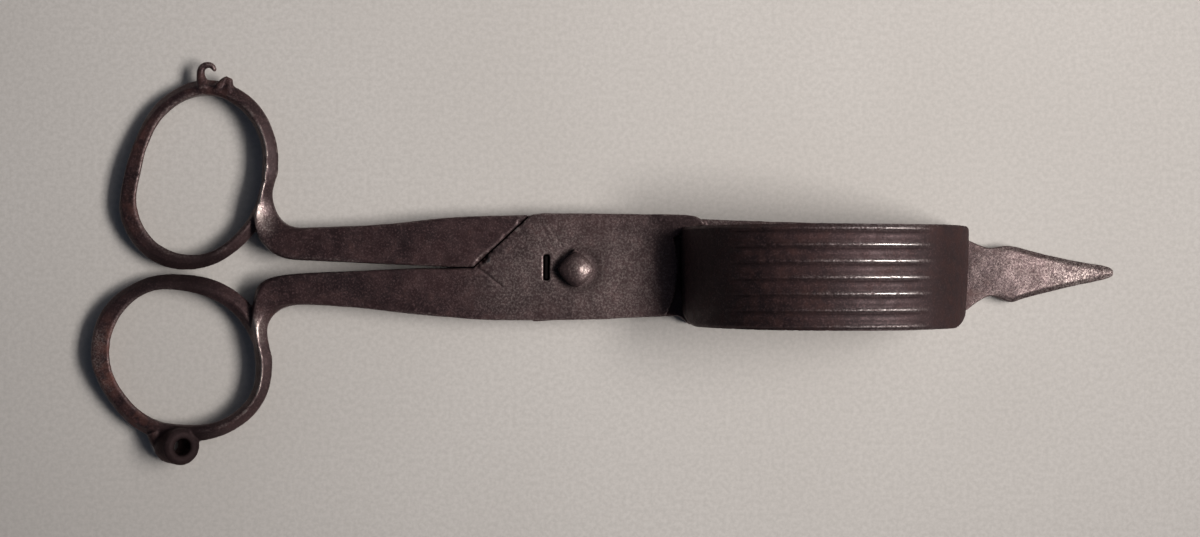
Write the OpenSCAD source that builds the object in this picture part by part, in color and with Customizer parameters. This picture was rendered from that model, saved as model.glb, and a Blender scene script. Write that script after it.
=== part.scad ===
// Candle snuffer: two forged arms on a rivet, with a reeded box that catches the trimmed wick.
// The origin is on the rivet's axis at the resting plane. +X runs towards the point, +Y towards
// the box arm's finger bow and +Z up. The snuffer is drawn closed.

/* [Joint] */
// Thickness of each half of the lapped joint
lap_t = 2.5; // [2.4:0.1:3]
// Gap between the two lap plates
lap_gap = 0.1; // [0.05:0.01:0.15]
// Gap along the shoulders and between the shanks when closed
shoulder_gap = 0.15; // [0.1:0.05:0.25]
// Radius of the rivet's pin
pin_r = 1.6; // [1.4:0.05:1.7]
// Radial clearance of the cutter arm on the pin
pin_clearance = 0.05; // [0.02:0.01:0.1]
// Radius of the tail, peened flush into its countersink
tail_r = 2.6; // [2.2:0.1:3]
// Side of the square rove under the rivet's head
rove_side = 4.3; // [4:0.1:4.8]
// Thickness of the rove
rove_t = 0.7; // [0.5:0.1:1]
// Height of the domed head above the rove
dome_h = 1.6; // [1.2:0.1:1.8]

/* [Spring] */
// Number of turns in the spiral spring
spring_turns = 3; // [2:1:3]
// Thickness of the spring's strip
spring_t = 0.4; // [0.3:0.05:0.45]
// Height of the spring's strip
spring_h = 1; // [0.8:0.1:1.1]
// Radius of the recess that the spring lies in
recess_r = 5.6; // [5.5:0.1:5.8]
// Depth of that recess in the cutter arm's lap plate
recess_depth = 1.3; // [1.3:0.1:1.5]
// Distance from the rivet to the slot that holds the spring's outer end
slot_x = 4.8; // [4.7:0.05:4.9]
// Length of the slot
slot_l = 4.3; // [3:0.1:4.5]
// Width of the slot
slot_w = 1; // [0.8:0.1:1.1]

/* [Finger bows] */
// Underside of the bows above the resting plane
bow_z = 1.2; // [0.6:0.1:1.4]
// Depth of the bows' iron
bow_depth = 3.6; // [3.2:0.1:4]
// Width taken off the top and bottom edges of a bow
bow_bevel = 0.45; // [0.2:0.05:0.6]
// Outer radius of the ring eye on the cutter arm's bow
eye_r = 3; // [2.8:0.1:3.1]
// Radius of the hole in the ring eye
eye_hole_r = 1.4; // [1:0.1:1.6]
// Length of the ring eye along its hole
eye_l = 3.9; // [3.4:0.1:4]
// Lean of the ring eye's hole from upright, in degrees
eye_lean = 40; // [30:5:45]

/* [Shanks] */
// Underside of the shanks above the resting plane
shank_z = 0.4; // [0.2:0.1:0.8]

/* [Snuff box] */
// Distance from the rivet to the middle of the arch
box_x = 41.1; // [41:0.1:41.4]
// Outside radius of the arched crown between its reeds
crown_r = 23.7; // [23.4:0.1:23.8]
// Thickness of the crown's strip
crown_t = 1.2; // [1:0.1:1.3]
// Number of reeds on the crown
reeds = 7; // [5:1:7]
// Distance from one reed to the next
reed_pitch = 2.5; // [2.3:0.1:2.5]
// Height of a reed
reed_h = 0.35; // [0.2:0.05:0.5]
// Angle up the arch from its foot nearest the point to the start of the reeds
reed_start = 54; // [40:1:60]
// Angle up the arch from that foot to the end of the reeds
reed_end = 133; // [120:1:140]
// Thickness of the box's back wall
back_t = 1.1; // [1:0.1:1.2]
// How far the crown overhangs the back wall
back_lip = 0.45; // [0.3:0.05:0.6]

/* [Blades] */
// Thickness of the cutter blade
blade_t = 1.7; // [1.4:0.1:2]
// Overlap of the cutter blade on the edge of the box's floor
shear_overlap = 1.4; // [1.2:0.1:1.5]
// Thickness of the press plate
press_t = 1; // [0.8:0.1:1.1]
// Gap between the press plate and the inside of the crown
press_gap = 0.9; // [0.8:0.1:1.1]

/* [Hidden] */
$fn = 64;
eps = 0.01;

iron = [0.27, 0.21, 0.21];
box_iron = [0.24, 0.18, 0.18];
rivet_iron = [0.42, 0.36, 0.35];
spring_steel = [0.35, 0.36, 0.4];

// Levels of the joint, the blade and the rivet's head
floor_z = lap_t;
upper_z = lap_t + lap_gap;
joint_z = upper_z + lap_t;
blade_top_z = upper_z + blade_t;
rove_z = joint_z + lap_gap;
head_z = rove_z + rove_t;

// The snuff box in plan: its mouth faces +Y and its back -Y
mouth_y = 6.7;
back_y = -9.65;
floor_edge_y = 6.3;
box_left = box_x - crown_r;
box_right = box_x + crown_r;
left_corner_r = 1.6;
right_corner_r = 4.2;
first_reed_y = 6;
reed_w = 0.9;
crown_inner_r = crown_r - crown_t;

// The cutter blade's edge, and the arc that keeps its plate clear of the crown's near foot
cut_edge_y = floor_edge_y - shear_overlap;
sweep_r = box_left - 0.4;
press_r = crown_inner_r - press_gap;
press_y = cut_edge_y + 0.3;
notch_z = joint_z + 0.3;
notch_y = cut_edge_y - 0.4;

// Tenons that hold the box's plates: length along the plate and thickness
tenon_l = 3;
tenon_t = 0.6;
crown_tenon_l = 6;
crown_tenon_y = -4;
press_tenons_x = [27, 54];
back_tenons_x = [28, 52];

// Radii of each bow every 30 degrees, anticlockwise from +X
box_bow_centre = [-62.3, 15.6];
box_bow_outer = [12.5, 13.7, 15.2, 15.8, 14.4, 12.7, 12.9, 15.6, 16.7, 15.5, 13.5, 12.4];
box_bow_inner = [9.9, 11.1, 12.6, 13.4, 12, 10.5, 10.5, 12.7, 14.1, 13.5, 11.4, 10.1];
cutter_bow_centre = [-65.3, -15.2];
cutter_bow_outer = [14.6, 14.3, 14, 13.9, 15, 15.9, 15.4, 14.4, 14.3, 13.8, 14.3, 15];
cutter_bow_inner = [11.8, 11.2, 11, 11.4, 12.8, 13.1, 12.7, 11.9, 11.6, 11.4, 12, 12.5];
eye_centre = [-66.2, -29.8, 3.6];

// The shoulder of the box arm climbs from the line where the shanks meet; the cutter arm's
// shoulder is its mirror image below that line
shoulder_foot = [-17, shoulder_gap / 2];
shoulder_head = [-7.6, 8.75];
shoulder_shift = [1.4 * shoulder_gap, 0];

// Burr that carries the lower plate's side of the shoulder on past the cutter arm's corner
burr = [0.35, -0.3];

// Edges of each neck and shank, away from the bow above and back to it below
box_shank_above = [
    [-50.2, 14.5], [-50.7, 11.8], [-49.6, 8.5], [-46.8, 6.75], [-40.5, 6.85],
    [-30.5, 7.4], [-20, 8.4], shoulder_head
];
box_shank_below = [
    shoulder_foot, [-28, 0.4], [-43, 1.1], [-49.1, 1.75], [-52.3, 4.2], [-53.6, 7.5],
    [-52.9, 11.5], [-52.3, 14.5]
];
cutter_shank_above = [
    [-53.9, -12.5], [-54.2, -9], [-53.9, -6], [-52.9, -3.1], [-50.5, -1.6], [-46, -1],
    [-38, -0.6], [-28, -0.25], mirror_y(shoulder_foot)
];
cutter_shank_below = [
    mirror_y(shoulder_head), [-15, -8.7], [-22.5, -8.1], [-33, -7.1], [-42, -6.3],
    [-47, -6.3], [-50, -7.5], [-51.5, -10], [-51.1, -13.5]
];

// Edge of the leaf-shaped point, from the box's mouth round to its back
point_edge = [
    [65.8, 4.6], [69.3, 3.3], [73, 3.6], [78.7, 2.3], [85.4, 0.85], [89.4, 0.2], [90.6, -0.8],
    [89.4, -1.9], [82, -3.5], [75.3, -5.2], [72.9, -5.8], [69.3, -4.8], [65.2, -7.4]
];

function mirror_y(p) = [p[0], -p[1]];

// Value at u on the smooth curve from p1 to p2, with their outer neighbours p0 and p3
function smooth(p0, p1, p2, p3, u) =
    (2 * p1 + (p2 - p0) * u + (2 * p0 - 5 * p1 + 4 * p2 - p3) * u * u
    + (3 * p1 - p0 - 3 * p2 + p3) * u * u * u) / 2;

// Points along a smooth open curve through the given ones
function curve(points, steps = 5) =
    let (last = len(points) - 1)
    concat(
        [
            for (i = [0 : last - 1], k = [0 : steps - 1])
                smooth(
                    points[max(i - 1, 0)], points[i], points[i + 1],
                    points[min(i + 2, last)], k / steps
                )
        ],
        [points[last]]
    );

// Radius of a bow at an angle, from its evenly spaced radii
function bow_radius(radii, a) =
    let (n = len(radii), s = a * n / 360, i = floor(s))
    smooth(radii[(i + n - 1) % n], radii[i % n], radii[(i + 1) % n], radii[(i + 2) % n], s - i);

// Closed outline of a bow, grown by a margin
function bow_outline(centre, radii, margin) = [
    for (a = [0 : 5 : 355]) centre + (bow_radius(radii, a) + margin) * [cos(a), sin(a)]
];

// Outline of a spiral strip of even pitch, out along one face and back along the other
function spiral(r_in, r_out, turns, t) =
    let (
        step = 15,
        n = turns * 360 / step,
        r = [for (k = [0 : n]) r_in + (r_out - r_in) * k / n]
    )
    concat(
        [for (k = [0 : n]) (r[k] + t / 2) * [cos(k * step), sin(k * step)]],
        [for (k = [n : -1 : 0]) (r[k] - t / 2) * [cos(k * step), sin(k * step)]]
    );

// Ring of a finger bow, bevelled along its upper and lower edges
module bow(centre, outer, inner) {
    levels = [0, bow_bevel, bow_depth - bow_bevel, bow_depth];
    insets = [bow_bevel, 0, bow_bevel];
    for (i = [0 : 2])
        translate([0, 0, bow_z + levels[i]]) linear_extrude(levels[i + 1] - levels[i])
            difference() {
                polygon(bow_outline(centre, outer, -insets[i]));
                polygon(bow_outline(centre, inner, insets[i]));
            }
}

// Neck and shank at the arm's full thickness
module shank(above, below) {
    translate([0, 0, shank_z]) linear_extrude(joint_z - shank_z)
        polygon(concat(curve(above), curve(below)));
}

// Hooked wire and worn lump left of the small eye on the box arm's bow
module broken_eye() {
    hook_centre = [-61.6, 32.9];
    hook_bend_r = 1.1;
    wire_r = 0.5;
    mid_z = bow_z + bow_depth / 2;
    translate([hook_centre[0], hook_centre[1], mid_z]) {
        rotate([0, 0, 20]) rotate_extrude(angle = 170)
            translate([hook_bend_r, 0]) circle(r = wire_r, $fn = 24);
        translate([-hook_bend_r, 0, 0]) rotate([90, 0, 0]) cylinder(r = wire_r + 0.1, h = 2.5);
    }
    translate([-58.1, 30.6, bow_z + 0.6]) cylinder(r = 1.4, h = bow_depth - 1.2);
}

// Cylinder of length l and radius r on the ring eye's leaning axis
module on_eye_axis(r, l) {
    translate(eye_centre) rotate([0, eye_lean, 0]) cylinder(r = r, h = l, center = true);
}

// Lower plate of the joint, the box's floor and the point
module floor_plan() {
    polygon(concat(
        [
            shoulder_foot, shoulder_head, [5, 8.8], [13.6, 8.6],
            [15.6, floor_edge_y], [box_right, floor_edge_y]
        ],
        curve(point_edge),
        [
            [63.4, -8.7], [60.6, back_y + 0.15], [18.9, back_y + 0.15], [17.3, -8.1], [5, -8.45],
            mirror_y(shoulder_head) + shoulder_shift + burr, shoulder_foot + shoulder_shift
        ]
    ));
}

// Upper plate of the joint, ended by an arc about the rivet
module upper_plan() {
    arc_end = asin(cut_edge_y / sweep_r);
    arc_start = asin(8.1 / sweep_r);
    polygon(concat(
        [
            mirror_y(shoulder_foot) + shoulder_shift, shoulder_head + shoulder_shift,
            [-5.4, 9], [7.2, 8.9], [18.4, 8.75], [20, 8.45], [21, 7.85], [21.5, 7.1], [18.6, 6.6]
        ],
        [for (k = [0 : 12]) let (a = arc_end - (arc_end + arc_start) * k / 12)
            sweep_r * [cos(a), sin(a)]],
        [[5, -8.6], mirror_y(shoulder_head), mirror_y(shoulder_foot)]
    ));
}

// Cutter blade, from under the upper plate to just inside the crown's far foot
module blade_plan() {
    tip_x = box_x + press_r;
    polygon([
        [12, cut_edge_y], [tip_x - 0.3, cut_edge_y], [tip_x, 5.6], [56, 6.9],
        [45.7, 7.25], [21.5, 8], [12, 8.4]
    ]);
}

// Half disc of radius r between two values of Y, standing on the level of the floor
module arch(r, y0, y1) {
    translate([box_x, y1, floor_z]) rotate([90, 0, 0]) difference() {
        cylinder(r = r, h = y1 - y0, $fn = 128);
        translate([-2 * r, -2 * r, -1]) cube([4 * r, 2 * r, y1 - y0 + 2]);
    }
}

// Tenons under the crown's two feet; the far one's slot is cut a little long
module crown_tenons(far_slack = 0) {
    inset = (crown_t - tenon_t) / 2;
    translate([box_left + inset, crown_tenon_y, 0]) cube([tenon_t, crown_tenon_l, floor_z]);
    translate([box_right - inset - tenon_t, crown_tenon_y, 0])
        cube([tenon_t + far_slack, crown_tenon_l, floor_z]);
}

// Tenons under the back wall
module back_tenons() {
    for (x = back_tenons_x)
        translate([x, back_y + back_lip + (back_t - tenon_t) / 2, 0])
            cube([tenon_l, tenon_t, floor_z]);
}

// Tenons under the press plate
module press_tenons() {
    for (x = press_tenons_x)
        translate([x, press_y + (press_t - tenon_t) / 2, upper_z])
            cube([tenon_l, tenon_t, blade_t]);
}

// Box in plan, square at the mouth and rounded at the back's two corners
module box_plan(height) {
    left_x = box_left + left_corner_r;
    right_x = box_right - right_corner_r;
    translate([left_x, back_y + left_corner_r, 0]) cylinder(r = left_corner_r, h = height);
    translate([right_x, back_y + right_corner_r, 0]) cylinder(r = right_corner_r, h = height);
    translate([left_x, back_y, 0]) cube([right_x - left_x, mouth_y - back_y, height]);
    translate([box_left, back_y + left_corner_r, 0])
        cube([box_x - box_left, mouth_y - back_y - left_corner_r, height]);
    translate([box_x, back_y + right_corner_r, 0])
        cube([box_right - box_x, mouth_y - back_y - right_corner_r, height]);
}

// Section of the crown's strip, at its radius in the arch
module crown_strip() {
    translate([crown_inner_r, -mouth_y]) square([crown_t, mouth_y - back_y]);
}

// Sections of the reeds, a step apart back from the mouth
module reed_section() {
    foot_r = crown_r - crown_t / 4;
    for (i = [0 : reeds - 1])
        translate([0, i * reed_pitch - first_reed_y])
            polygon([
                [foot_r, -reed_w / 2], [crown_r, -reed_w / 2], [crown_r + reed_h, -reed_w / 8],
                [crown_r + reed_h, reed_w / 8], [crown_r, reed_w / 2], [foot_r, reed_w / 2]
            ]);
}

module box_arm() {
    color(iron) difference() {
        union() {
            bow(box_bow_centre, box_bow_outer, box_bow_inner);
            broken_eye();
            shank(box_shank_above, box_shank_below);
            linear_extrude(floor_z) floor_plan();
        }
        cylinder(r = pin_r, h = floor_z + 1);
        cylinder(r1 = tail_r, r2 = pin_r, h = tail_r - pin_r);
        crown_tenons(far_slack = 0.4);
        back_tenons();
    }
}

module cutter_arm() {
    color(iron) difference() {
        union() {
            bow(cutter_bow_centre, cutter_bow_outer, cutter_bow_inner);
            on_eye_axis(eye_r, eye_l);
            shank(cutter_shank_above, cutter_shank_below);
            translate([0, 0, upper_z]) linear_extrude(lap_t) upper_plan();
            translate([0, 0, upper_z]) linear_extrude(blade_t) blade_plan();
        }
        on_eye_axis(eye_hole_r, eye_l + 8);
        cylinder(r = pin_r + pin_clearance, h = joint_z + 1);
        translate([0, 0, upper_z - 1]) cylinder(r = recess_r, h = recess_depth + 1);
        translate([-slot_x - slot_w / 2, -slot_l / 2, upper_z]) cube([slot_w, slot_l, lap_t + 1]);
        press_tenons();
    }
}

module box_crown() {
    color(box_iron) difference() {
        union() {
            intersection() {
                translate([box_x, 0, floor_z]) rotate([90, 0, 0]) {
                    rotate_extrude(angle = 180, $fn = 128) crown_strip();
                    rotate([0, 0, reed_start])
                        rotate_extrude(angle = reed_end - reed_start, $fn = 128) reed_section();
                }
                box_plan(floor_z + crown_r + reed_h + 1);
            }
            crown_tenons();
        }
        translate([box_left - 1, notch_y, floor_z - eps])
            cube([crown_t + 2, mouth_y, notch_z - floor_z]);
    }
}

module box_back() {
    wall_y = back_y + back_lip;
    corner = [box_right - right_corner_r, back_y + right_corner_r, floor_z];
    corner_r = right_corner_r - back_lip;
    wall_h = crown_r;
    color(box_iron) {
        intersection() {
            union() {
                translate([box_left, wall_y, floor_z])
                    cube([corner[0] - box_left, back_t, wall_h]);
                translate(corner) difference() {
                    cylinder(r = corner_r, h = wall_h);
                    translate([0, 0, -1]) cylinder(r = corner_r - back_t, h = wall_h + 2);
                    translate([-2 * corner_r, -2 * corner_r, -1])
                        cube([2 * corner_r, 4 * corner_r, wall_h + 2]);
                    translate([-corner_r, 0, -1]) cube([3 * corner_r, 2 * corner_r, wall_h + 2]);
                }
            }
            arch(crown_inner_r - eps, back_y, mouth_y);
        }
        back_tenons();
    }
}

module press_plate() {
    color(box_iron) {
        difference() {
            arch(press_r, press_y, press_y + press_t);
            translate([0, 0, -1]) cube([2 * box_right, mouth_y, blade_top_z + 1]);
        }
        press_tenons();
    }
}

module pivot_rivet() {
    dome_r = 2.45;
    dome_offset = [0.25, -0.3];
    sphere_r = (dome_r * dome_r + dome_h * dome_h) / (2 * dome_h);
    color(rivet_iron) {
        cylinder(r = pin_r, h = head_z + eps);
        cylinder(r1 = tail_r, r2 = pin_r, h = tail_r - pin_r);
        intersection() {
            translate([dome_offset[0], dome_offset[1], head_z + dome_h - sphere_r])
                sphere(r = sphere_r);
            translate([0, 0, head_z]) rotate([0, 0, 45])
                translate([-rove_side / 2, -rove_side / 2, 0]) cube([rove_side, rove_side, 4]);
        }
    }
}

module pivot_rove() {
    color(rivet_iron) translate([0, 0, rove_z]) difference() {
        rotate([0, 0, 45]) translate([-rove_side / 2, -rove_side / 2, 0])
            cube([rove_side, rove_side, rove_t]);
        translate([0, 0, -1]) cylinder(r = pin_r, h = rove_t + 2);
    }
}

module closing_spring() {
    inner_turn_r = 2.05;
    lift = 0.15;
    tab_l = slot_l - 0.6;
    tab_h = joint_z - 0.5 - upper_z - lift;
    color(spring_steel) translate([0, 0, upper_z + lift]) {
        rotate([0, 0, 180]) linear_extrude(spring_h)
            polygon(spiral(inner_turn_r, slot_x, spring_turns, spring_t));
        translate([-slot_x - spring_t / 2, -tab_l / 2, 0]) cube([spring_t, tab_l, tab_h]);
    }
}

box_arm();
cutter_arm();
box_crown();
box_back();
press_plate();
pivot_rivet();
pivot_rove();
closing_spring();
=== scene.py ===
"""Looks of the forged iron candle snuffer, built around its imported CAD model.

Shapes are worked out in millimetres, in the CAD's frame: the origin is on the rivet's axis at
the resting plane, +X runs towards the point and +Z up. Meshes are made in metres.
"""

import math

import bmesh
import bpy
import numpy as np
from mathutils import Matrix, Vector, noise
from mathutils.kdtree import KDTree


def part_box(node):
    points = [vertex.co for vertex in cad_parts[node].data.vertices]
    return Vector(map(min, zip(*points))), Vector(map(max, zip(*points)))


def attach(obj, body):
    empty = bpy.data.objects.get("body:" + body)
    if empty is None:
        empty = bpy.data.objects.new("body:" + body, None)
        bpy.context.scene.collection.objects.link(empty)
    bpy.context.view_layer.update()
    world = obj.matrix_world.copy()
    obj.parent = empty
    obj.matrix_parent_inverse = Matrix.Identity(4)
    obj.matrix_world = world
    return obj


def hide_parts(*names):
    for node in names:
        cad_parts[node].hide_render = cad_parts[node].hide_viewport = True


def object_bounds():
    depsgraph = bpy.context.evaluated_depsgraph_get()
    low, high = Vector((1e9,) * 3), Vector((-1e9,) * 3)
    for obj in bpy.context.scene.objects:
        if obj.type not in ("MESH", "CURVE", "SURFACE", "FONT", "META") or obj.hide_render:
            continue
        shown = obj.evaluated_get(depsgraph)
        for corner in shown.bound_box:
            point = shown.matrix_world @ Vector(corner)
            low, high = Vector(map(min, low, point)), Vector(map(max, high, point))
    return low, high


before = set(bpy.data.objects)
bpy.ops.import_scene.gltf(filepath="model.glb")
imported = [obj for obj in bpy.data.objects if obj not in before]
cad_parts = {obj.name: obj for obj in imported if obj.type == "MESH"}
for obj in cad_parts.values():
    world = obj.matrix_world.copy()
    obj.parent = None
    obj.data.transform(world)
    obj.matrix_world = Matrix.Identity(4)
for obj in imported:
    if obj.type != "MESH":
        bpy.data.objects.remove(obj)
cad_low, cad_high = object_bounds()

MM = 0.001

# Radii of each finger bow every 30 degrees, anticlockwise from +X, as in the CAD source
BOX_BOW = {
    "centre": (-62.3, 15.6),
    "outer": (12.5, 13.7, 15.2, 15.8, 14.4, 12.7, 12.9, 15.6, 16.7, 15.5, 13.5, 12.4),
    "inner": (9.9, 11.1, 12.6, 13.4, 12, 10.5, 10.5, 12.7, 14.1, 13.5, 11.4, 10.1),
    "ridge": 0.34,
    "turn": -1,
}
CUTTER_BOW = {
    "centre": (-65.3, -15.2),
    "outer": (14.6, 14.3, 14, 13.9, 15, 15.9, 15.4, 14.4, 14.3, 13.8, 14.3, 15),
    "inner": (11.8, 11.2, 11, 11.4, 12.8, 13.1, 12.7, 11.9, 11.6, 11.4, 12, 12.5),
    "ridge": 0.47,
    "turn": 1,
}

# Rows along each neck and shank, from the bow to the shoulder: outer edge (x, y), inner edge
# (x, y), where the top's flat starts and ends across the width, its height at both, how far
# the inner and outer sides rise above the middle, and the underside
BOX_SHANK = (
    (-50.2, 14.5, -52.3, 14.5, 0.34, 0.38, 4.85, 4.8, 0.2, 0.2, 1.5),
    (-50.7, 11.8, -52.9, 11.5, 0.18, 0.42, 5.0, 4.8, 0.3, 0.3, 1.3),
    (-49.6, 8.5, -53.6, 7.5, 0.1, 0.66, 5.15, 4.4, 0.7, 0.7, 1.0),
    (-46.8, 6.75, -52.3, 4.2, 0.07, 0.86, 5.0, 4.6, 1.3, 1.3, 0.8),
    (-40.5, 6.85, -49.1, 1.75, 0.06, 0.94, 4.85, 4.85, 1.6, 1.6, 0.7),
    (-30.5, 7.4, -43, 1.1, 0.05, 0.95, 4.95, 4.95, 1.8, 1.8, 0.6),
    (-20, 8.4, -28, 0.4, 0.04, 0.96, 5.05, 5.05, 2.0, 2.0, 0.5),
    (-7.6, 8.75, -17, 0.075, 0.03, 0.97, 5.1, 5.1, 2.1, 2.1, 0.4),
)
CUTTER_SHANK = (
    (-51.1, -13.5, -53.9, -12.5, 0.42, 0.5, 4.85, 4.85, 0.2, 0.2, 1.5),
    (-51.5, -10, -54.2, -9, 0.28, 0.58, 5.0, 4.8, 0.3, 0.3, 1.3),
    (-50, -7.5, -53.9, -6, 0.18, 0.74, 5.0, 4.6, 0.7, 0.7, 1.0),
    (-47, -6.3, -52.9, -3.1, 0.12, 0.88, 4.9, 4.7, 1.3, 1.3, 0.8),
    (-42, -6.3, -50.5, -1.6, 0.08, 0.94, 4.85, 4.85, 1.6, 1.6, 0.7),
    (-33, -7.1, -46, -1, 0.05, 0.95, 4.95, 4.95, 1.8, 1.8, 0.6),
    (-22.5, -8.1, -38, -0.6, 0.04, 0.96, 5.05, 5.05, 2.0, 2.0, 0.5),
    (-15, -8.7, -28, -0.25, 0.03, 0.97, 5.1, 5.1, 2.1, 2.1, 0.4),
    (-7.6, -8.75, -17, -0.075, 0.03, 0.97, 5.1, 5.1, 2.1, 2.1, 0.4),
)
WELD_ANGLE = 12
BOW_STEP = 4
SHANK_CUT_X = -17.6

# Sizes of the grid that each forging is remeshed on
BOX_ARM_VOXEL = 0.25
CUTTER_ARM_VOXEL = 0.22
PLATE_VOXEL = 0.26
RIVET_VOXEL = 0.09
ROVE_VOXEL = 0.08

# The ring eye on the cutter arm's bow
EYE_CENTRE = (-66.2, -29.8, 3.6)
EYE_LEAN = math.radians(40)
EYE_HOLE_R = 1.4

# The crown's plan and its reeds
CROWN_X = 41.1
CROWN_R = 23.7
CROWN_T = 1.2
LEFT_CORNER_R = 1.6
RIGHT_CORNER_R = 4.2
NOTCH_Y, NOTCH_Z = 4.5, 5.4
REEDS, REED_PITCH, FIRST_REED_Y = 7, 2.5, 6
REED_START, REED_END = 54, 133
REED_H = 0.35

# The crown's corners, and the level of the floor that its feet stand on
CROWN_LOW, CROWN_HIGH = (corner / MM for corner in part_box("box_crown"))
FLOOR_TOP = CROWN_HIGH.z - CROWN_R - REED_H

POINT_ROOT_X, POINT_TIP_X = 65.5, 90.6


# ---------------------------------------------------------------- mesh building

def smoothstep(low, high, value):
    t = np.clip((value - low) / (high - low), 0, 1)
    return t * t * (3 - 2 * t)


def catmull_rom(p0, p1, p2, p3, u):
    return (2 * p1 + (p2 - p0) * u + (2 * p0 - 5 * p1 + 4 * p2 - p3) * u ** 2
            + (3 * p1 - p0 - 3 * p2 + p3) * u ** 3) / 2


def smooth_rows(rows, steps):
    """Rows along the smooth open curve through the given ones."""
    p = np.array(rows, float)
    padded = np.vstack([p[:1], p, p[-1:]])
    found = [
        catmull_rom(*padded[i:i + 4], k / steps)
        for i in range(len(p) - 1) for k in range(steps)
    ]
    return np.array(found + [p[-1]])


def closed_value(values, angle):
    """Value at an angle in degrees on the smooth closed curve through evenly spaced values."""
    n = len(values)
    place = (angle % 360) * n / 360
    i = int(place)
    return catmull_rom(*(values[(i + k) % n] for k in (-1, 0, 1, 2)), place - i)


def new_object(name, mesh):
    obj = bpy.data.objects.new(name, mesh)
    bpy.context.scene.collection.objects.link(obj)
    return obj


def shell(name, verts_mm, faces):
    """Closed mesh object from corners in millimetres, with its faces turned outwards."""
    mesh = bpy.data.meshes.new(name)
    mesh.from_pydata([tuple(v) for v in np.asarray(verts_mm) * MM], [], faces)
    bm = bmesh.new()
    bm.from_mesh(mesh)
    bmesh.ops.recalc_face_normals(bm, faces=bm.faces)
    bm.to_mesh(mesh)
    bm.free()
    return new_object(name, mesh)


def loft(name, rings):
    """Closed shell through rings of equally many points, capped at both ends."""
    rings = np.asarray(rings, float)
    count, around = rings.shape[:2]
    faces = [
        (i * around + j, i * around + (j + 1) % around,
         (i + 1) * around + (j + 1) % around, (i + 1) * around + j)
        for i in range(count - 1) for j in range(around)
    ]
    faces.append(tuple(range(around)))
    faces.append(tuple((count - 1) * around + j for j in range(around)))
    return shell(name, rings.reshape(-1, 3), faces)


def tube(name, points, radii, around=16):
    """Round bar of changing radius along a smooth path."""
    rows = smooth_rows([(*p, r) for p, r in zip(points, radii)], 6)
    path, radius = rows[:, :3], rows[:, 3]
    rings = []
    for i, centre in enumerate(path):
        ahead = Vector(path[min(i + 1, len(path) - 1)] - path[max(i - 1, 0)]).normalized()
        side = ahead.cross(Vector((0, 0, 1))).normalized()
        up = side.cross(ahead)
        rings.append([
            centre + radius[i] * np.array(side * math.cos(a) + up * math.sin(a))
            for a in np.linspace(0, math.tau, around, endpoint=False)
        ])
    return loft(name, rings)


def lathe(name, profile, centre, lean, around=48):
    """Ring with a closed profile of (radius, height) points, about an axis leaning to +X."""
    turn = Matrix.Rotation(lean, 3, "Y")
    rows = len(profile)
    verts = [
        Vector(centre) + turn @ Vector((r * math.cos(a), r * math.sin(a), h))
        for a in np.linspace(0, math.tau, around, endpoint=False) for r, h in profile
    ]
    faces = [
        (i * rows + j, i * rows + (j + 1) % rows,
         (i + 1) % around * rows + (j + 1) % rows, (i + 1) % around * rows + j)
        for i in range(around) for j in range(rows)
    ]
    return shell(name, verts, faces)


def cad_shell(node, cut_x=None):
    """Copy of a CAD node's mesh, without what lies before cut_x."""
    bm = bmesh.new()
    bm.from_mesh(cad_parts[node].data)
    bmesh.ops.remove_doubles(bm, verts=bm.verts, dist=0.001 * MM)
    if cut_x is not None:
        bmesh.ops.bisect_plane(
            bm, geom=[*bm.verts, *bm.edges, *bm.faces], dist=0.0001 * MM,
            plane_co=(cut_x * MM, 0, 0), plane_no=(-1, 0, 0), clear_outer=True,
        )
        bmesh.ops.holes_fill(bm, edges=[e for e in bm.edges if e.is_boundary])
    mesh = bpy.data.meshes.new(node + "_shell")
    bm.to_mesh(mesh)
    bm.free()
    return new_object(node + "_shell", mesh)


def evaluated(obj):
    """Replaces an object's mesh by the result of its modifiers."""
    graph = bpy.context.evaluated_depsgraph_get()
    mesh = bpy.data.meshes.new_from_object(obj.evaluated_get(graph))
    obj.modifiers.clear()
    obj.data = mesh
    return obj


def discard(*objects):
    for obj in objects:
        bpy.data.objects.remove(obj)


def bored(obj, cutter):
    """Takes the cutter's shape out of an object."""
    cut = obj.modifiers.new("bore", "BOOLEAN")
    cut.operation, cut.object, cut.solver = "DIFFERENCE", cutter, "EXACT"
    evaluated(obj)
    discard(cutter)
    return obj


def forged(name, parts, voxel_mm, smoothing=2):
    """Unites closed shells into one even mesh with worn, rounded edges."""
    bm = bmesh.new()
    for part in parts:
        bm.from_mesh(part.data)
    mesh = bpy.data.meshes.new(name)
    bm.to_mesh(mesh)
    bm.free()
    discard(*parts)
    obj = new_object(name, mesh)
    remesh = obj.modifiers.new("unite", "REMESH")
    remesh.mode, remesh.voxel_size = "VOXEL", voxel_mm * MM
    relax = obj.modifiers.new("relax", "SMOOTH")
    relax.factor, relax.iterations = 0.5, smoothing
    return evaluated(obj)


# ---------------------------------------------------------------- surface work

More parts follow.
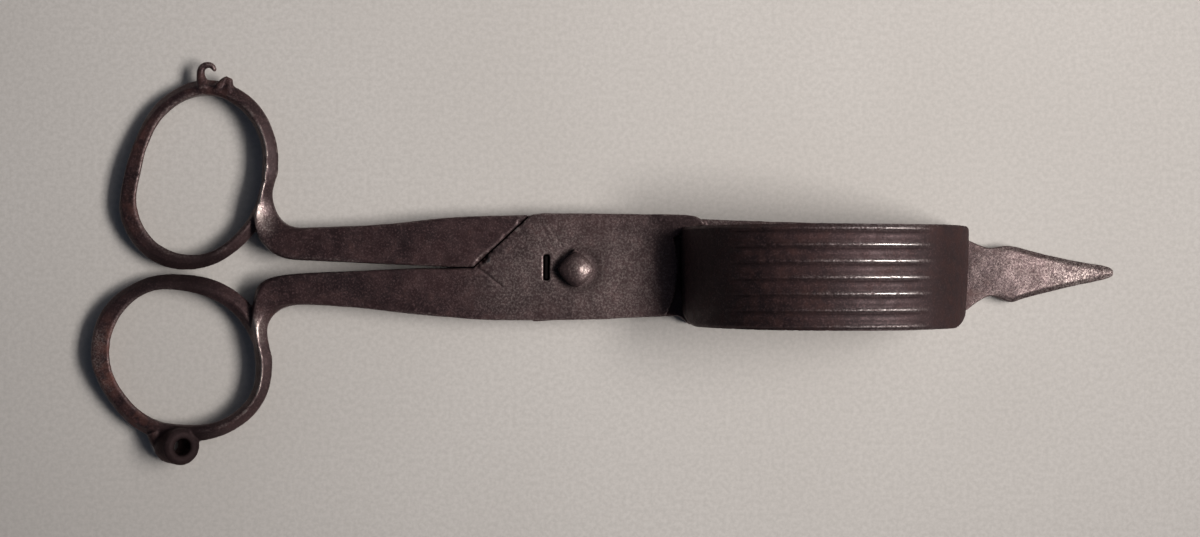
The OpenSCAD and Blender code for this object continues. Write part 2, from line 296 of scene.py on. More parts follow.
class Surface:
    """A piece's vertices as arrays, in millimetres, for working its surface."""

    def __init__(self, obj):
        self.obj = obj
        mesh = obj.data
        self.co = np.zeros(len(mesh.vertices) * 3)
        mesh.vertices.foreach_get("co", self.co)
        self.co = self.co.reshape(-1, 3) / MM
        self.edges = np.zeros(len(mesh.edges) * 2, int)
        mesh.edges.foreach_get("vertices", self.edges)
        self.edges = self.edges.reshape(-1, 2)
        self.normal = self.read_normals()

    def read_normals(self):
        found = np.zeros(len(self.co) * 3)
        self.obj.data.vertices.foreach_get("normal", found)
        return found.reshape(-1, 3)

    def blurred(self, values, times):
        """Values averaged with their neighbours' along the edges."""
        a, b = self.edges.T
        degree = np.bincount(a, minlength=len(self.co)) + np.bincount(b, minlength=len(self.co))
        for _ in range(times):
            total = np.bincount(a, values[b], len(self.co))
            total += np.bincount(b, values[a], len(self.co))
            values = (values + total / np.maximum(degree, 1)) / 2
        return values

    def bulge(self, times=3):
        """How far the surface stands proud of its surroundings: above 0 on ridges and edges."""
        mean = np.stack([self.blurred(self.co[:, k], times) for k in range(3)], 1)
        return np.einsum("ij,ij->i", self.co - mean, self.normal)

    def noise(self, scale_mm, seed, octaves=1):
        """Smooth noise between about -1 and 1 at a size in millimetres."""
        shift = Vector((seed * 13.7, seed * 7.3, seed * 3.1))
        places = (Vector(c) / scale_mm + shift for c in self.co)
        if octaves == 1:
            return np.array([noise.noise(p) for p in places])
        return np.array([noise.fractal(p, 0.6, 2.1, octaves) for p in places])

    def spots(self, places):
        """Sum of soft spots: (x, y, z, radius, strength) in millimetres."""
        total = np.zeros(len(self.co))
        for x, y, z, radius, strength in places:
            away = np.linalg.norm(self.co - (x, y, z), axis=1)
            total += strength * np.exp(-(away / radius) ** 2)
        return total

    def push(self, along_normal):
        self.co += self.normal * along_normal[:, None]

    def write(self, **attributes):
        """Stores the places and the named values, and shades the piece smooth."""
        mesh = self.obj.data
        mesh.vertices.foreach_set("co", (self.co * MM).ravel())
        mesh.update()
        for name, values in attributes.items():
            layer = mesh.attributes.new(name, "FLOAT", "POINT")
            layer.data.foreach_set("value", np.clip(values, 0, 1).astype(np.float32))
        mesh.shade_smooth()


def hammered(surface, seed, depth=1.0, still=None):
    """Dents of the hammer and the scale left by the fire."""
    amount = (0.10 * surface.noise(9, seed) + 0.05 * surface.noise(3.2, seed + 1)
              + 0.022 * surface.noise(1.1, seed + 2, octaves=2))
    if still is not None:
        amount *= still
    surface.push(depth * amount)


def engraved(surface, start, end, width, depth):
    """Depth of a straight groove between two places in plan, on faces that look up."""
    a, b = np.array(start, float), np.array(end, float)
    along = np.clip((surface.co[:, :2] - a) @ (b - a) / ((b - a) @ (b - a)), 0, 1)
    away = np.linalg.norm(surface.co[:, :2] - (a + along[:, None] * (b - a)), axis=1)
    return depth * np.exp(-(away / width) ** 2) * (surface.normal[:, 2] > 0.7)


def away_from_lap(surface):
    """0 on the faces between the two lap plates, where the arms run close, and 1 elsewhere."""
    x, _, z = surface.co.T
    inside = (x > -18) & (x < 66)
    near = np.exp(-((z - FLOOR_TOP - 0.05) / 0.35) ** 2)
    return 1 - near * inside


# ---------------------------------------------------------------- the arms

def bow_rows(bow):
    """Rows of a finger bow, from its welded end round to the limb that runs into the neck.

    The bar stands on edge where roll is 1, beside the neck, and lies flat where it is 0. The
    flat limbs are wider by what smoothing takes off them, and their inner sides are undercut.
    The welded end is tucked in beside the neck.
    """
    centre = np.array(bow["centre"])
    rows = []
    for step in range(WELD_ANGLE, 361, BOW_STEP):
        angle = bow["turn"] * step
        direction = np.array((math.cos(math.radians(angle)), math.sin(math.radians(angle))))
        roll = max(0.0, direction[0]) ** 0.8
        ridge = bow["ridge"]
        free_end = 1 - float(smoothstep(WELD_ANGLE, 95, step))
        top = 3.75 + 1.05 * roll - 0.75 * free_end
        low = 1.0 + 0.55 * roll
        upright = abs(direction[1])
        flat_start = 0.03 + 0.19 * upright
        flat_end = 0.93 - 0.41 * upright
        flat_start += (ridge - flat_start) * roll
        flat_end += (ridge + 0.04 - flat_end) * roll
        inner_side = 1.3 - 1.1 * roll
        outer_side = (1.05 - 1.0 * upright) * (1 - roll) + 0.2 * roll
        spare = 0.16 * (1 - roll)
        tuck = 0.9 * (1 - float(smoothstep(WELD_ANGLE, 45, step)))
        undercut = max(0.0, -direction[0]) ** 0.5
        rows.append((
            *(centre + (closed_value(bow["outer"], angle) + spare - tuck) * direction),
            *(centre + (closed_value(bow["inner"], angle) - spare) * direction),
            flat_start, flat_end, top, top - 0.2 * (1 - roll),
            inner_side, outer_side, low, undercut,
        ))
    return np.array(rows)


def section(row):
    """Corners of a bar's section from one row, whose last value undercuts the inner side."""
    outer, inner = row[0:2], row[2:4]
    start, end, z_start, z_end, inner_side, outer_side, low, undercut = row[4:]
    middle = ((z_start + z_end) / 2 + low) / 2
    inner_low = middle - inner_side + undercut * (2 * inner_side - 0.5)
    corners = (
        (0, inner_low), (0, middle + inner_side), (start, z_start), (end, z_end),
        (1, middle + outer_side), (1, middle - outer_side), (1 - start, low),
        (1 - end + 0.35 * undercut, low),
    )
    return [(*(inner + u * (outer - inner)), z) for u, z in corners]


def arm_bar(name, bow, shank):
    """The bow, neck and shank of an arm as one bar."""
    shank_rows = smooth_rows(shank, 6)
    rows = np.vstack([bow_rows(bow), np.column_stack([shank_rows, np.zeros(len(shank_rows))])])
    return loft(name, [section(row) for row in rows])


def broken_eye():
    """Stub and curled wire left of the box arm's small eye."""
    hook = tube(
        "hook",
        [(-62.1, 29.8, 3), (-62.5, 31.2, 3), (-62.65, 32.5, 3.1), (-62.3, 33.45, 3.2),
         (-61.45, 33.85, 3.2), (-60.7, 33.65, 3.1), (-60.4, 33.1, 3), (-60.55, 32.75, 2.9)],
        [1.25, 0.95, 0.75, 0.66, 0.58, 0.5, 0.45, 0.3],
    )
    stub = tube(
        "stub",
        [(-60, 29.4, 3), (-59.1, 30.6, 3.1), (-58.6, 31.3, 3.2), (-58, 31.75, 3.1)],
        [1.1, 0.85, 0.6, 0.42],
    )
    heel = tube("heel", [(-57.9, 29.2, 3), (-57.95, 30.6, 3), (-57.75, 31.75, 3)], [1.1, 0.8, 0.5])
    return [hook, stub, heel]


def ring_eye():
    """Ring eye of the cutter arm's bow, with worn rims."""
    r, low, high = 3.05, -3.5, 1.8
    profile = (
        (EYE_HOLE_R, low + 0.3), (EYE_HOLE_R + 0.3, low), (r - 0.4, low), (r, low + 0.5),
        (r, high - 0.5), (r - 0.7, high), (EYE_HOLE_R + 0.2, high), (EYE_HOLE_R, high - 0.2),
    )
    return lathe("eye", profile, EYE_CENTRE, EYE_LEAN)


def eye_heel():
    """Fillet that leads from the bow into the ring eye's far side."""
    path = [(-70.6, -27.4, 2.7), (-69.9, -29, 2.6), (-68.7, -30.8, 2.4)]
    return tube("eye_heel", path, [1.3, 1.3, 1.2])


def eye_bore():
    axis = Vector((math.sin(EYE_LEAN), 0, math.cos(EYE_LEAN)))
    ends = [Vector(EYE_CENTRE) + s * axis for s in (-6, -3, 0, 3, 6)]
    return tube("eye_bore", ends, [EYE_HOLE_R] * 5, around=40)


def shape_point(surface):
    """Thins the point towards its tip and rolls its edges over."""
    x, _, z = surface.co.T
    along = smoothstep(POINT_ROOT_X, POINT_TIP_X, x)
    on_point = x > POINT_ROOT_X
    rim = np.flatnonzero(on_point & (np.abs(surface.normal[:, 2]) < 0.5))
    tree = KDTree(len(rim))
    for i in rim:
        tree.insert((*surface.co[i, :2], 0), int(i))
    tree.balance()
    edge = np.zeros(len(x))
    for i in np.flatnonzero(on_point):
        edge[i] = tree.find((*surface.co[i, :2], 0))[2]
    thick = 1 - 0.5 * along
    crowned = 1 - 0.22 * smoothstep(0, 0.4, along) * (1 - smoothstep(0, 0.9, edge))
    surface.co[:, 2] = np.where(on_point, z * thick * crowned, z)


# Height that only the upper plate and the tops of the shanks pass
TOP_FROM_Z = 4

# Range over which an edge of the arms goes from patina to bare metal, in millimetres of bulge
EDGE_WEAR = (0.016, 0.04)

# Where the two arms' shoulders meet, the edges have crumbled: (x, y, z, radius, strength)
SEAM_DEPTH = 0.55
SEAM_CHIPS = (
    (-14.4, 1.1, 5.1, 0.45, 0.9), (-9.6, 6.3, 5.1, 0.4, 0.8), (-8.6, 7.9, 5.1, 0.35, 0.8),
)
SEAM_SPOTS = (
    (-16.2, 0.45, 5.1, 0.34, 1.2), (-15.5, 1.05, 5.1, 0.42, 2.2), (-14.9, 1.65, 5.1, 0.4, 2.0),
    (-14.0, 2.6, 5.1, 0.3, 0.9), (-11.6, 5.0, 5.1, 0.3, 0.7), (-9.1, 7.4, 5.1, 0.34, 1.0),
    (-17.4, 0.0, 5.1, 0.3, 0.6),
)


def near_seam(surface):
    """1 beside the shoulders' edges and 0 away from them."""
    x, y, z = surface.co.T
    from_line = np.abs(y - 0.4 - (x + 16.2) * 0.98) / 1.4
    return np.exp(-(from_line / 0.5) ** 2) * (np.abs(x + 12) < 6) * (z > TOP_FROM_Z)


# Soft spots of wear, bare metal, rust, and of soot with painted shade, on the box arm: (x, y, z,
# radius, strength)
BOX_SPOTS = {
    "neck": ((-52.8, 10.3, 5, 1.3, 0.6), (-52.4, 8.6, 5, 1.5, 0.65), (-51.4, 7.0, 5, 1.3, 0.5)),
    "left_limb": (
        (-79.1, 11, 4, 1.7, 0.9), (-78.9, 14.5, 4, 1.6, 0.7), (-78.0, 18, 4, 1.5, 0.6),
        (-76.8, 21.5, 4, 1.5, 0.5),
    ),
    # Along the right limb's ridge, edge wear is raised into bright metal: wear, and a painted
    # highlight along the crest
    "right_ridge": ((-51.5, 17, 4.8, 5, 1.2), (-52, 23, 4.8, 4, 0.6)),
    "rust": (
        (-74, 22, 3, 4, 0.35), (-73, 10, 3, 4, 0.3), (67, -5, 2, 2.5, 0.2),
        (67, 3, 2, 2, 0.1), (-60, 30, 3, 4, 0.25),
    ),
    # The first two paint shade on the bow's lower limb, where it lies close to the cutter arm's
    # bow; the others darken the bow's right side
    "soot": (
        (-62, 1.3, 3, 6, 0.6), (-69, 3.5, 3, 4, 0.4), (-49, 16, 3, 2.6, 0.5),
        (-50, 21, 3, 3, 0.45), (-53.5, 26, 3, 3, 0.3),
    ),
}


def box_arm():
    bar = arm_bar("box_bar", BOX_BOW, BOX_SHANK)
    parts = [cad_shell("box_arm", SHANK_CUT_X), bar, *broken_eye()]
    obj = forged("forged_box_arm", parts, BOX_ARM_VOXEL)
    s = Surface(obj)
    shape_point(s)
    hammered(s, 1, still=away_from_lap(s))
    above = s.co[:, 2] > TOP_FROM_Z
    s.co[:, 2] = np.maximum(s.co[:, 2] - SEAM_DEPTH * s.spots(SEAM_SPOTS) * above, 0)
    x = s.co[:, 0]
    edge_wear = smoothstep(*EDGE_WEAR, s.blurred(s.bulge(), 1))
    top = smoothstep(0.2, 0.8, s.normal[:, 2])
    neck = s.spots(BOX_SPOTS["neck"])
    left_limb = s.spots(BOX_SPOTS["left_limb"])
    right_ridge = s.spots(BOX_SPOTS["right_ridge"]) * edge_wear
    edge_wear *= (1 - 0.85 * near_seam(s)) * (1 - 0.8 * smoothstep(-72, -75, x))
    wear = np.clip(0.35 * edge_wear + neck * top + right_ridge, 0, 1)
    bare = smoothstep(POINT_ROOT_X - 2, POINT_ROOT_X + 2, x) * top
    bare *= 0.5 + 0.5 * smoothstep(POINT_TIP_X - 14, POINT_TIP_X - 5, x)
    bare += left_limb * top
    # Painted shade: the crease along the shoulders' seam is darkened as if in shade
    soot = s.spots(BOX_SPOTS["soot"]) + 0.9 * near_seam(s) ** 3
    s.write(wear=wear, rust=s.spots(BOX_SPOTS["rust"]), bare=bare, soot=soot)
    return obj


# Grooves on the upper plate: start, end, width and depth. The first is old and is darkened along
# its length.
LAP_MARK = ((-16.2, 0.1), (-12.2, -3.0), 0.17, 0.2)
SCRATCHES = (
    ((-4.2, 6.6), (-2.2, 3.6), 0.16, 0.07),
    ((-5.2, 6.4), (-3.6, 2.9), 0.14, 0.05),
    ((-3.2, 6.9), (-1.0, 4.9), 0.14, 0.05),
    ((5.6, -5.2), (7.4, -2.6), 0.16, 0.05),
)


# Soft spots on the cutter arm, as for the box arm
CUTTER_SPOTS = {
    "neck": ((-52.8, -9.5, 5, 1.4, 0.75), (-52.8, -11.5, 4.9, 1.3, 0.7)),
    "left_limb": (
        (-80.0, -12, 4, 1.8, 0.6), (-80.2, -16, 4, 1.6, 0.5), (-79, -20, 4, 1.6, 0.4),
    ),
    # Along the right limb's ridge, edge wear is raised into bright metal: wear, and a painted
    # highlight along the crest
    "right_ridge": ((-52, -16, 4.8, 5, 1.2), (-52.5, -22, 4.8, 4, 0.7)),
    "blade_back": ((24, 7.8, 4.3, 3, 0.4), (32, 7.6, 4.3, 4, 0.3), (40, 7.4, 4.3, 4, 0.15)),
    "plate": (
        (-10, -3, 5.1, 6, 0.30), (-3, 4, 5.1, 6, 0.30), (3, -5, 5.1, 6, 0.30),
        (9, 3, 5.1, 6, 0.26), (11, -5, 5.1, 5, 0.22),
    ),
    "eye": ((-66.2, -30.5, 4, 4, 0.9),),
    "rust": (
        (-77, -12, 3, 3, 0.8), (-77, -18, 3, 3, 0.8), (-73, -26, 3, 3, 0.5),
        (-67.5, -30, 4, 2.5, 0.2),
    ),
    # The first two paint shade on the bow's upper limb, where it lies close to the box arm's bow,
    # and the third paints shade over the ring eye's face; the others darken the bow beside the eye
    # and its right side
    "soot": (
        (-65, -2.5, 3, 6, 0.6), (-73, -5, 3, 4, 0.4), (-66.2, -30, 4, 4.4, 1.1),
        (-60, -28, 3, 4, 0.3), (-50, -16, 3, 2.6, 0.45), (-50.5, -21, 3, 3, 0.4),
    ),
}


def cutter_arm():
    bar = bored(arm_bar("cutter_bar", CUTTER_BOW, CUTTER_SHANK), eye_bore())
    heel = bored(eye_heel(), eye_bore())
    parts = [cad_shell("cutter_arm", SHANK_CUT_X), bar, heel, ring_eye()]
    obj = forged("forged_cutter_arm", parts, CUTTER_ARM_VOXEL)
    s = Surface(obj)
    hammered(s, 5, still=away_from_lap(s))
    above = s.co[:, 2] > TOP_FROM_Z
    round_rivet = np.hypot(s.co[:, 0] - 0.3, s.co[:, 1] + 0.3)
    dish = np.exp(-((round_rivet - 3.3) / 0.9) ** 2) * above
    s.co[:, 2] -= 0.16 * dish + SEAM_DEPTH * s.spots(SEAM_SPOTS) * above
    lap_mark = engraved(s, *LAP_MARK)
    s.co[:, 2] -= lap_mark * above
    for groove in SCRATCHES:
        s.co[:, 2] -= engraved(s, *groove) * above
    s.co[:, 2] = np.maximum(s.co[:, 2], 0)
    edge_wear = smoothstep(*EDGE_WEAR, s.blurred(s.bulge(), 1))
    top = smoothstep(0.2, 0.8, s.normal[:, 2])
    right_ridge = s.spots(CUTTER_SPOTS["right_ridge"]) * edge_wear
    edge_wear *= (1 - 0.85 * near_seam(s)) * (1 - s.spots(CUTTER_SPOTS["eye"]))
    bright_spots = s.spots(SEAM_CHIPS)
    for place in ("neck", "blade_back", "plate"):
        bright_spots += s.spots(CUTTER_SPOTS[place])
    wear = np.clip(0.35 * edge_wear + right_ridge + bright_spots * top, 0, 1)
    s.write(
        wear=wear,
        rust=s.spots(CUTTER_SPOTS["rust"]),
        bare=s.spots(CUTTER_SPOTS["left_limb"]) * top,
        soot=0.55 * dish + 4.5 * lap_mark + s.spots(CUTTER_SPOTS["soot"]),
    )
    return obj


# ---------------------------------------------------------------- the snuff box

def reed_profile(y):
    """Height of the reeds above the crown, their crests, and their grooves, which are darkened
    with dirt and painted shade.

    Each reed is a fine raised line, with a chased line beside it and a broad swell beyond.
    """
    height, crest, dirt_and_shade = np.zeros_like(y), np.zeros_like(y), np.zeros_like(y)
    for i in range(REEDS):
        away = y - (FIRST_REED_Y - i * REED_PITCH)
        height += 0.24 * np.exp(-(away / 0.27) ** 2)
        height += 0.20 * np.exp(-((away + REED_PITCH / 2) / 0.62) ** 2)
        height -= 0.12 * np.exp(-((away + 0.42) / 0.2) ** 2)
        crest += np.exp(-(away / 0.22) ** 2)
        dirt_and_shade += np.exp(-((away + 0.42) / 0.3) ** 2) + 0.4 * np.exp(-((away - 0.45) / 0.35) ** 2)
    return height, crest, dirt_and_shade


def box_crown():
    """The arched strip as a fine grid round its arch, with reeds, worn rims and dents."""
    rows, columns = 280, 150
    mouth, back = CROWN_HIGH.y, CROWN_LOW.y
    angle = np.radians(np.linspace(0, 180, rows))[:, None]
    reach = CROWN_R * np.cos(angle)
    right = np.clip(reach - (CROWN_R - RIGHT_CORNER_R), 0, RIGHT_CORNER_R)
    left = np.clip(-reach - (CROWN_R - LEFT_CORNER_R), 0, LEFT_CORNER_R)
    back_edge = (back + RIGHT_CORNER_R - np.sqrt(RIGHT_CORNER_R ** 2 - right ** 2)
                 + LEFT_CORNER_R - np.sqrt(LEFT_CORNER_R ** 2 - left ** 2))
    in_notch = (reach < 0) & (FLOOR_TOP + CROWN_R * np.sin(angle) < NOTCH_Z)
    mouth_edge = np.where(in_notch, NOTCH_Y, mouth)
    across = np.linspace(0, 1, columns)[None, :]
    y = back_edge + (mouth_edge - back_edge) * across
    degrees = np.degrees(angle)
    reeded = smoothstep(REED_START - 3, REED_START + 11, degrees)
    reeded = reeded * (1 - smoothstep(REED_END - 5, REED_END + 7, degrees))
    rim = np.minimum(y - back_edge, mouth_edge - y)
    worn = 0.28 * np.exp(-(rim / 0.28) ** 2)
    height, crest, dirt_and_shade = reed_profile(y)
    outer = CROWN_R + height * reeded - worn
    inner = np.full_like(outer, CROWN_R - CROWN_T) + worn * 0.6

    squeeze = 1 + 0.015 * (reach > 0) - 0.03 * ((mouth - y) / (mouth - back)) ** 2

    def grid(radius):
        return np.stack([
            CROWN_X + radius * squeeze * np.cos(angle), y,
            FLOOR_TOP + radius * np.sin(angle),
        ], 2).reshape(-1, 3)

    def index(side, i, j):
        return side * rows * columns + i * columns + j

    faces = []
    for i in range(rows - 1):
        for j in range(columns - 1):
            square = ((i, j), (i + 1, j), (i + 1, j + 1), (i, j + 1))
            faces.append(tuple(index(0, *p) for p in square))
            faces.append(tuple(index(1, *p) for p in (square[0], *square[:0:-1])))
        for j in (0, columns - 1):
            faces.append((index(0, i, j), index(1, i, j), index(1, i + 1, j), index(0, i + 1, j)))
    for j in range(columns - 1):
        for i in (0, rows - 1):
            faces.append((index(0, i, j), index(0, i, j + 1), index(1, i, j + 1), index(1, i, j)))
    obj = shell("reeded_crown", np.vstack([grid(outer), grid(inner)]), faces)
    s = Surface(obj)
    free = smoothstep(FLOOR_TOP, FLOOR_TOP + 3, s.co[:, 2])
    s.push(free * (0.06 * s.noise(11, 11) + 0.022 * s.noise(2.6, 12) + 0.014 * s.noise(0.9, 13)))
    rims = np.exp(-(rim / 0.35) ** 2)
    ridges = np.maximum(crest * reeded, 0.5 * rims * np.ones_like(crest)).ravel()
    on_outside = np.concatenate([ridges, 0.4 * ridges * (rims.ravel() > 0.3)])
    in_grooves = np.concatenate([(dirt_and_shade * reeded).ravel(), np.zeros(dirt_and_shade.size)])
    # Painted highlight, partly wear: bright metal on the crests and rims is kept to a patch just
    # past the arch's top, where the lamp's highlight falls
    bright_spots = s.spots([(50, 0, 25, 9.5, 1.2)])
    chips = smoothstep(0.22, 0.6, s.noise(0.75, 14, octaves=2))
    s.push(-0.13 * chips * on_outside)
    from_top = s.co[:, 0] - CROWN_X
    point_side = smoothstep(13, 19, from_top)
    joint_side = smoothstep(1, -6, from_top) * smoothstep(-21, -15, from_top)
    patches = smoothstep(0.1, 0.6, s.noise(6, 15))
    s.write(
        wear=on_outside * bright_spots * (1 - 0.4 * chips),
        rust=0.10 * patches + 0.24 * point_side + 0.14 * joint_side,
        # Darker towards the point end, and painted shade, partly dirt, in the grooves between the
        # reeds
        soot=0.6 * smoothstep(8, 17, from_top) + 0.5 * in_grooves,
    )
    return obj


def worked(name, node, voxel_mm, seed, depth, polish_and_highlight=(), extras=()):
    """A small forged part: its CAD shape with worn edges and a hammered surface."""
    obj = forged(name, [cad_shell(node), *extras], voxel_mm)
    s = Surface(obj)
    hammered(s, seed, depth)
    edge_wear = smoothstep(0.1 * voxel_mm, 0.35 * voxel_mm, s.blurred(s.bulge(), 1))
    s.co[:, 2] = np.maximum(s.co[:, 2], 0)
    # Extra spots of bare metal; on the rivet head these are polish and a painted highlight
    s.write(wear=0.6 * edge_wear + s.spots(polish_and_highlight))
    return obj


# Spots of bare metal on the rivet's head, partly polish from rubbing and partly a painted
# highlight on its side towards the lamp: (x, y, z, radius, strength)
DOME_POLISH_AND_HIGHLIGHT = ((1.7, -0.6, 7.2, 1.3, 0.6), (0.6, 0.2, 7.6, 1.5, 0.35))


def domed_head():
    """Rivet head peened into a low, blunt, four-sided dome."""
    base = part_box("pivot_rove")[1].z / MM
    levels = ((-0.3, 2.95, 1.35), (0.35, 3.0, 1.35), (0.75, 2.75, 1.45), (1.1, 2.2, 1.6),
              (1.35, 1.4, 1.8), (1.45, 0.6, 2))
    rings = []
    for height, radius, power in levels:
        ring = []
        for a in np.linspace(0, math.tau, 48, endpoint=False):
            c, d = math.cos(a), math.sin(a)
            r = radius * (abs(c) ** power + abs(d) ** power) ** (-1 / power)
            ring.append((0.15 + r * c, -0.35 + r * d, base + height))
        rings.append(ring)
    return loft("dome", rings)


# ---------------------------------------------------------------- materials

class Nodes:
    """Short hand for building one node material."""

    def __init__(self, name):
        self.material = bpy.data.materials.new(name)
        self.material.use_nodes = True
        self.tree = self.material.node_tree
        self.shader = self.tree.nodes["Principled BSDF"]
        place = self.add("ShaderNodeTexCoord")
        scale = self.add("ShaderNodeVectorMath", operation="SCALE")
        scale.inputs["Scale"].default_value = 1 / MM
        self.link(place.outputs["Object"], scale.inputs[0])
        self.place = scale.outputs[0]

    def add(self, kind, **settings):
        node = self.tree.nodes.new(kind)
        for key, value in settings.items():
            setattr(node, key, value)
        return node

    def link(self, source, target):
        if isinstance(source, (int, float, tuple)):
            target.default_value = source
        else:
            self.tree.links.new(source, target)

    def noise(self, per_mm, detail=3.0, roughness=0.55, distortion=0.0):
        node = self.add("ShaderNodeTexNoise")
        self.link(self.place, node.inputs["Vector"])
        node.inputs["Scale"].default_value = per_mm
        node.inputs["Detail"].default_value = detail
        node.inputs["Roughness"].default_value = roughness
        node.inputs["Distortion"].default_value = distortion
        return node.outputs["Fac"]

    def attribute(self, name):
        return self.add("ShaderNodeAttribute", attribute_name=name).outputs["Fac"]

    def span(self, value, low, high, out_low=0.0, out_high=1.0):
        """Value from low to high made into out_low to out_high, held at both ends."""
        node = self.add("ShaderNodeMapRange", interpolation_type="SMOOTHSTEP")
        self.link(value, node.inputs["Value"])
        for socket, number in zip(("From Min", "From Max", "To Min", "To Max"),
                                  (low, high, out_low, out_high)):
            node.inputs[socket].default_value = number
        return node.outputs["Result"]

    def math(self, operation, a, b):
        node = self.add("ShaderNodeMath", operation=operation, use_clamp=operation != "SUBTRACT")
        self.link(a, node.inputs[0])
        self.link(b, node.inputs[1])
        return node.outputs[0]

    def mix(self, factor, a, b):
        """Colour or number from a to b."""
        kind = "FLOAT" if isinstance(b, float) else "RGBA"
        node = self.add("ShaderNodeMix", data_type=kind)
        sockets = [s for s in node.inputs if s.enabled]
        self.link(factor, sockets[0])
        self.link(a, sockets[1])
        self.link(b, sockets[2])
        return [s for s in node.outputs if s.enabled][0]


def rgb(red, green, blue):
    """Colour for a socket, from linear red, green and blue."""
    return (red, green, blue, 1.0)


DARK = rgb(0.014, 0.0085, 0.0092)
BROWN = rgb(0.031, 0.0165, 0.0166)
RUSTY = rgb(0.050, 0.022, 0.019)
SCALE = rgb(0.086, 0.050, 0.050)
STEEL = rgb(0.34, 0.285, 0.262)
BLACK = rgb(0.006, 0.005, 0.005)
# Near black of soot, also used to paint shade into creases and between close parts
SOOT_AND_SHADE = rgb(0.010, 0.0058, 0.0060)
RUST = rgb(0.110, 0.040, 0.028)


def iron_material(name, dark, brown, scale=SCALE, steel=STEEL,
                  gloss=0.38, worn_gloss=0.30, shine=0.5):
    """Old iron: brown patina, bare metal where it wears, rust in patches, pits and scale."""
    n = Nodes(name)
    wear, rust, bare, soot = (n.attribute(a) for a in ("wear", "rust", "bare", "soot"))
    clouds = n.noise(0.11, 4, 0.6, 0.3)
    mottle = n.noise(0.55, 4, 0.6)
    grain = n.noise(3.0, 4, 0.75)
    speck = n.noise(5.5, 2, 0.5)

    colour = n.mix(n.span(clouds, 0.36, 0.64), dark, brown)
    colour = n.mix(n.span(mottle, 0.52, 0.75, 0, 0.45), colour, RUSTY)
    dust = n.math("MAXIMUM", n.span(grain, 0.51, 0.63, 0, 0.65), n.math("MULTIPLY", wear, 0.9))
    colour = n.mix(dust, colour, scale)
    pit = n.math("MULTIPLY", n.span(speck, 0.60, 0.72), n.span(mottle, 0.42, 0.6))
    colour = n.mix(n.math("MULTIPLY", pit, 0.7), colour, BLACK)

    rust_mask = n.math("MULTIPLY", rust, n.span(mottle, 0.35, 0.62))
    colour = n.mix(rust_mask, colour, RUST)

    worn_mask = n.math("MULTIPLY", wear, n.span(grain, 0.46, 0.60, 0.10, 1.0))
    worn_mask = n.math("MAXIMUM", worn_mask, n.span(wear, 0.5, 1.0))
    salt = n.span(n.math("ADD", n.math("MULTIPLY", grain, 0.6), n.math("MULTIPLY", speck, 0.4)),
                  0.44, 0.58)
    cover = n.math("MULTIPLY", salt, n.span(clouds, 0.30, 0.55, 0.15, 0.65))
    bare_mask = n.math("MULTIPLY", bare, cover)
    metal = n.math("MAXIMUM", worn_mask, bare_mask)
    colour = n.mix(metal, colour, steel)
    # Soot and painted shade: near-black colour and a duller sheen
    colour = n.mix(soot, colour, SOOT_AND_SHADE)
    n.link(colour, n.shader.inputs["Base Color"])
    n.shader.inputs["Specular Tint"].default_value = rgb(1.0, 0.74, 0.75)
    n.shader.inputs["Specular IOR Level"].default_value = shine
    metallic = n.math("MAXIMUM", n.span(metal, 0, 1, 0.2, 0.95), n.math("MULTIPLY", soot, 0.8))
    n.link(metallic, n.shader.inputs["Metallic"])
    rough = n.mix(metal, n.span(mottle, 0.3, 0.7, gloss - 0.07, gloss + 0.12), worn_gloss)
    rough = n.mix(rust_mask, rough, 0.85)
    n.link(n.mix(soot, rough, 0.8), n.shader.inputs["Roughness"])

    rough_skin = n.math("ADD", n.math("MULTIPLY", grain, 0.5), n.math("MULTIPLY", mottle, 0.5))
    height = n.math("SUBTRACT", rough_skin, n.math("MULTIPLY", pit, 0.5))
    bump = n.add("ShaderNodeBump")
    bump.inputs["Strength"].default_value = 0.6
    bump.inputs["Distance"].default_value = 0.12 * MM
    n.link(height, bump.inputs["Height"])
    n.link(bump.outputs["Normal"], n.shader.inputs["Normal"])
    return n.material


def paper_material():
    n = Nodes("paper")
    fibre = n.noise(1.3, 4, 0.7)
    tone = n.noise(0.012, 2)
    colour = n.mix(n.span(tone, 0.3, 0.7), rgb(0.50, 0.465, 0.435), rgb(0.54, 0.505, 0.475))
    colour = n.mix(n.span(fibre, 0.3, 0.7, 0, 0.42), colour, rgb(0.36, 0.335, 0.31))
    n.link(colour, n.shader.inputs["Base Color"])
    n.shader.inputs["Roughness"].default_value = 0.9
    n.shader.inputs["Specular IOR Level"].default_value = 0.15
    bump = n.add("ShaderNodeBump")
    bump.inputs["Strength"].default_value = 0.3
    bump.inputs["Distance"].default_value = 0.05 * MM
    n.link(fibre, bump.inputs["Height"])
    n.link(bump.outputs["Normal"], n.shader.inputs["Normal"])
    return n.material


# ---------------------------------------------------------------- stage

def floor():
    """Sheet of paper that the snuffer lies on."""
    half = 1500
    below = 0.02
    corners = [(-half, -half, 0), (half, -half, 0), (half, half, 0), (-half, half, 0)]
    obj = shell("floor", corners, [(0, 1, 2, 3)])
    obj.location.z = cad_low.z - below * MM
    obj.data.materials.append(paper_material())


def aim(obj, target_mm):
    towards = Vector(target_mm) * MM - obj.location
    obj.rotation_euler = towards.to_track_quat("-Z", "Y").to_euler()


def soft_light(name, place_mm, target_mm, size_mm, spread_deg, watts):
    """Warm rectangular soft box, with its first size along Y."""
    data = bpy.data.lights.new(name, "AREA")
    data.shape, data.energy, data.color = "RECTANGLE", watts, (1.0, 0.975, 0.95)
    data.spread = math.radians(spread_deg)
    data.size, data.size_y = (length * MM for length in size_mm)
    obj = bpy.data.objects.new(name, data)
    bpy.context.scene.collection.objects.link(obj)
    obj.location = Vector(place_mm) * MM
    aim(obj, target_mm)


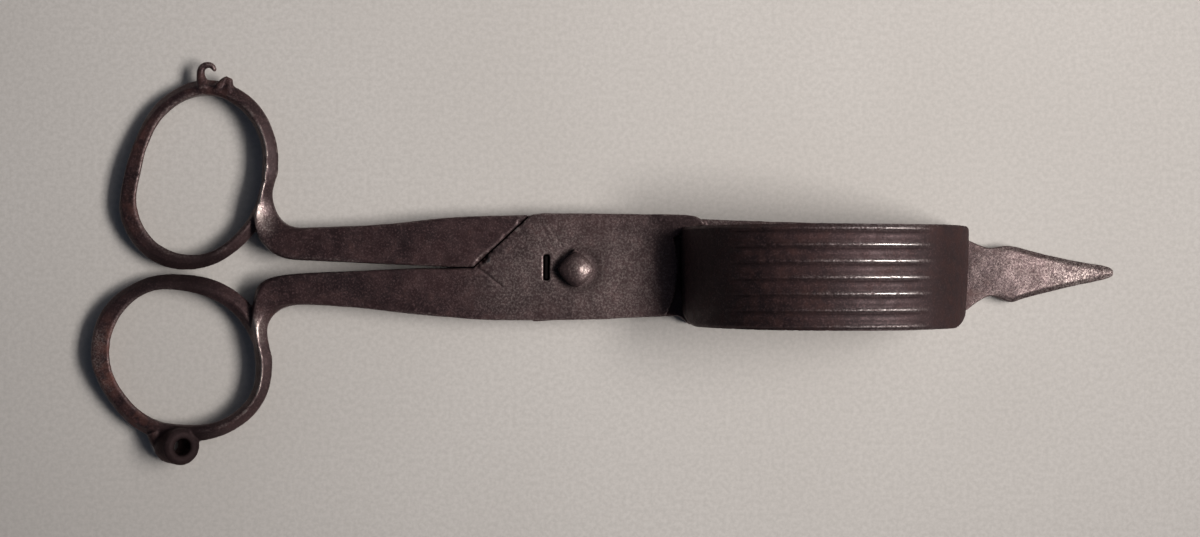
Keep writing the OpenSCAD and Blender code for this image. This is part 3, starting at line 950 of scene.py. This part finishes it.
def lights():
    soft_light("key", (345, 20, 360), (-10, 70, 0), (340, 120), 60, 0.51)
    soft_light("wide", (330, 120, 420), (0, 60, 0), (900, 300), 100, 0.22)
    world = bpy.data.worlds.new("studio")
    world.use_nodes = True
    background = world.node_tree.nodes["Background"]
    background.inputs["Color"].default_value = rgb(0.60, 0.73, 1.0)
    background.inputs["Strength"].default_value = 0.065
    bpy.context.scene.world = world
    bpy.context.scene.view_settings.view_transform = "Standard"


CAMERA_PLACE = (4.08, -0.17, 250)
CAMERA_ANGLE = 44.2


def camera():
    """Straight above the snuffer, with the box arm's bow at the top of the picture."""
    data = bpy.data.cameras.new("camera")
    data.angle = math.radians(CAMERA_ANGLE)
    data.clip_start, data.clip_end = 0.01, 10
    obj = bpy.data.objects.new("camera", data)
    bpy.context.scene.collection.objects.link(obj)
    obj.location = Vector(CAMERA_PLACE) * MM
    bpy.context.scene.camera = obj


# ---------------------------------------------------------------- putting it together

forged_iron = iron_material("forged_iron", DARK, BROWN)
# Bright, glossy bare metal: wear, and the painted highlight on the reeds' crests
box_iron = iron_material("box_iron", rgb(0.011, 0.0068, 0.0075), rgb(0.026, 0.0145, 0.0152),
                         steel=rgb(0.62, 0.56, 0.54), gloss=0.56, worn_gloss=0.20)
rivet_iron = iron_material("rivet_iron", DARK, rgb(0.055, 0.036, 0.034), gloss=0.42,
                           worn_gloss=0.40)
# Painted shade: the closing spring is near black with almost no sheen, so the slot it fills reads
# as a dark hole
spring_steel = iron_material("spring_steel", BLACK, BLACK, BLACK, BLACK, gloss=0.85, shine=0.05)

PIECES = (
    (box_arm(), "box_side", "box_arm", "forged_iron", forged_iron),
    (cutter_arm(), "cutter_side", "cutter_arm", "forged_iron", forged_iron),
    (box_crown(), "box_side", "box_crown", "box_iron", box_iron),
    (worked("back_wall", "box_back", PLATE_VOXEL, 21, 0.6),
     "box_side", "box_back", "box_iron", box_iron),
    (worked("press", "press_plate", PLATE_VOXEL, 24, 0.4),
     "cutter_side", "press_plate", "box_iron", box_iron),
    (worked("domed_rivet", "pivot_rivet", RIVET_VOXEL, 27, 0.7, DOME_POLISH_AND_HIGHLIGHT, [domed_head()]),
     "box_side", "pivot_rivet", "rivet_iron", rivet_iron),
    (worked("square_rove", "pivot_rove", ROVE_VOXEL, 30, 0.3),
     "box_side", "pivot_rove", "rivet_iron", rivet_iron),
)
for piece, body, node, slot, material in PIECES:
    piece.data.materials.clear()
    piece.data.materials.append(material)
    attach(piece, body)
    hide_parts(node)

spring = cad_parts["closing_spring"]
spring.data.materials.clear()
spring.data.materials.append(spring_steel)

floor()
lights()
camera()
